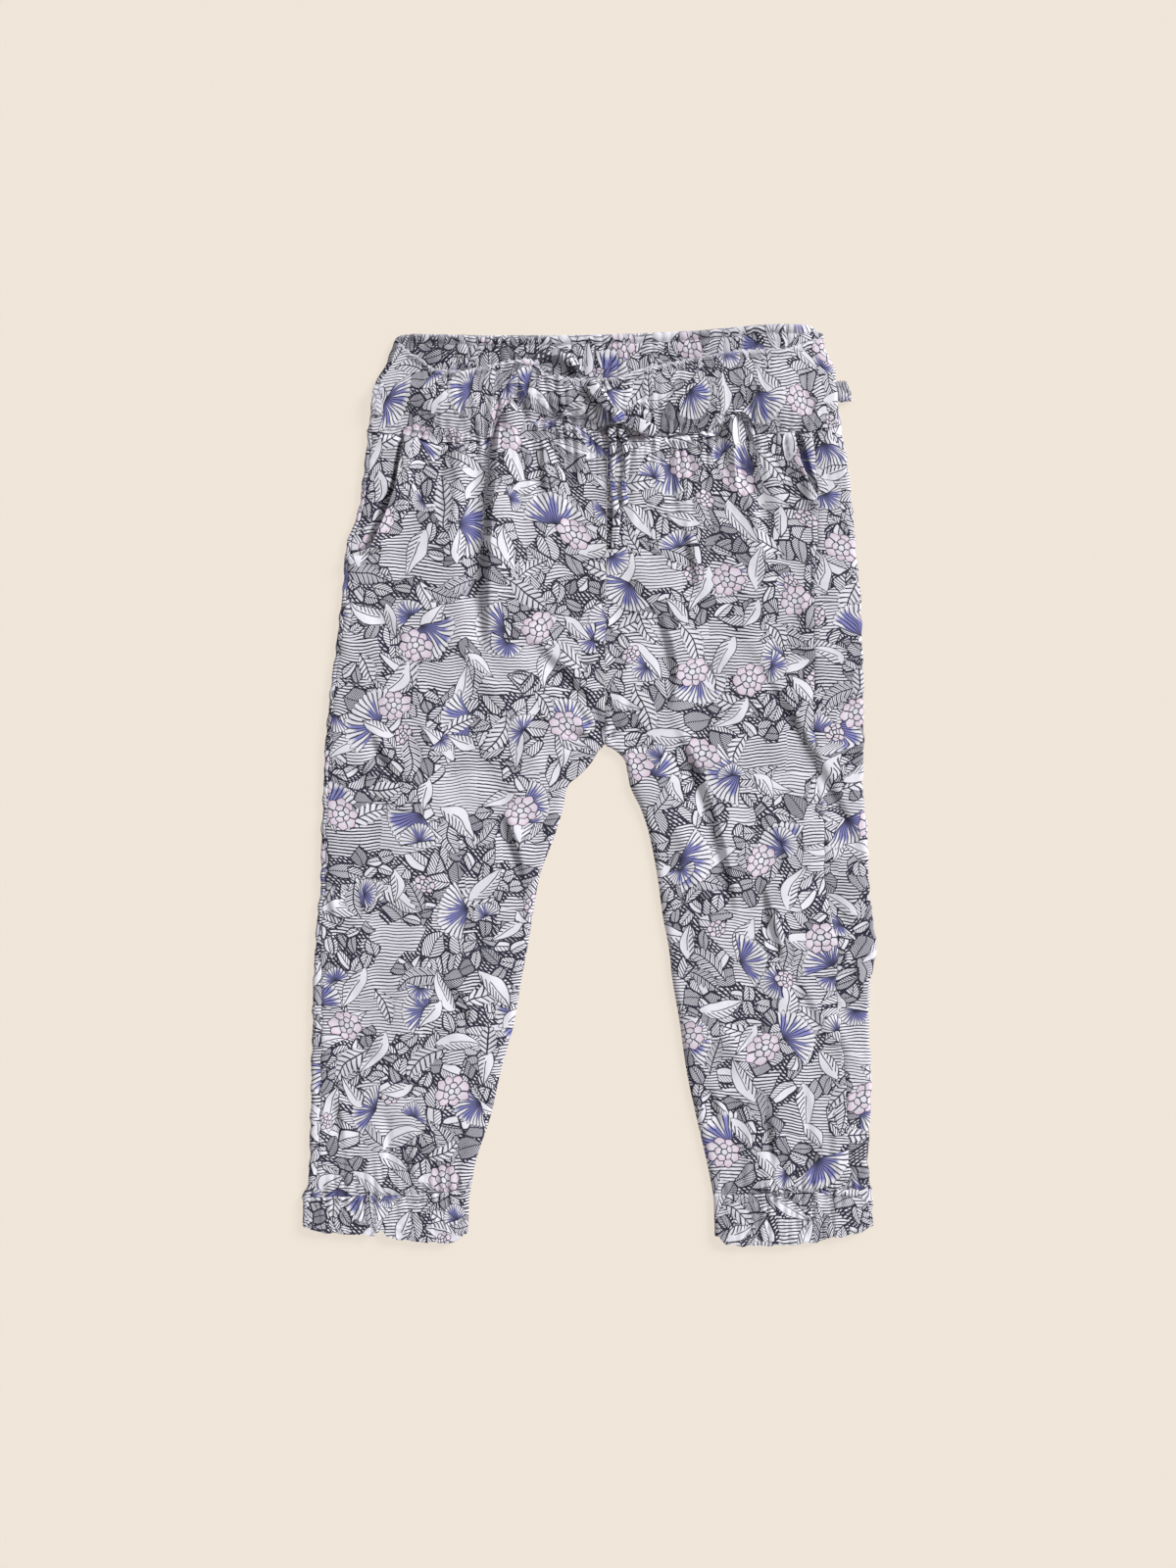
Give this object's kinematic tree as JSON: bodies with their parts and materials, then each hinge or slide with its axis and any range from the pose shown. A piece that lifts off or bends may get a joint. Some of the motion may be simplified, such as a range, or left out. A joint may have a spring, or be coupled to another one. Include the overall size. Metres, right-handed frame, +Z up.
{
  "type": "harem pants",
  "caption": "Child's loose harem trousers laid flat, front up: elastic waistband with a small tie, pleats, slanted pockets, tapered legs and banded hems.",
  "frame": {"origin": "centre of the flat garment's outline, on the surface that it lies on", "axes": "+Y from the hems towards the waist, +X towards the wearer's left leg, +Z up from the surface, out of the front"},
  "size_m": [0.2923, 0.4693, 0.0105],
  "materials": {
    "printed_cotton": "matte woven, printed",
    "waistband_cotton": "matte woven, printed",
    "pocket_cotton": "matte woven, printed",
    "tie_cotton": "matte woven, printed"
  },
  "bodies": {
    "root": {"front_leg_right": "printed_cotton", "front_leg_left": "printed_cotton", "back_leg_right": "printed_cotton", "back_leg_left": "printed_cotton", "pocket_side_right": "pocket_cotton", "pocket_side_left": "pocket_cotton", "waistband_front": "waistband_cotton", "waistband_back": "waistband_cotton", "cuff_front_right": "waistband_cotton", "cuff_back_right": "waistband_cotton", "cuff_front_left": "waistband_cotton", "cuff_back_left": "waistband_cotton", "tie_knot": "tie_cotton", "tie_loop_right": "tie_cotton", "tie_loop_left": "tie_cotton", "tie_tail_right": "tie_cotton", "tie_tail_left": "tie_cotton", "belt_carrier_right": "waistband_cotton", "belt_carrier_left": "waistband_cotton"}
  },
  "joints": []
}
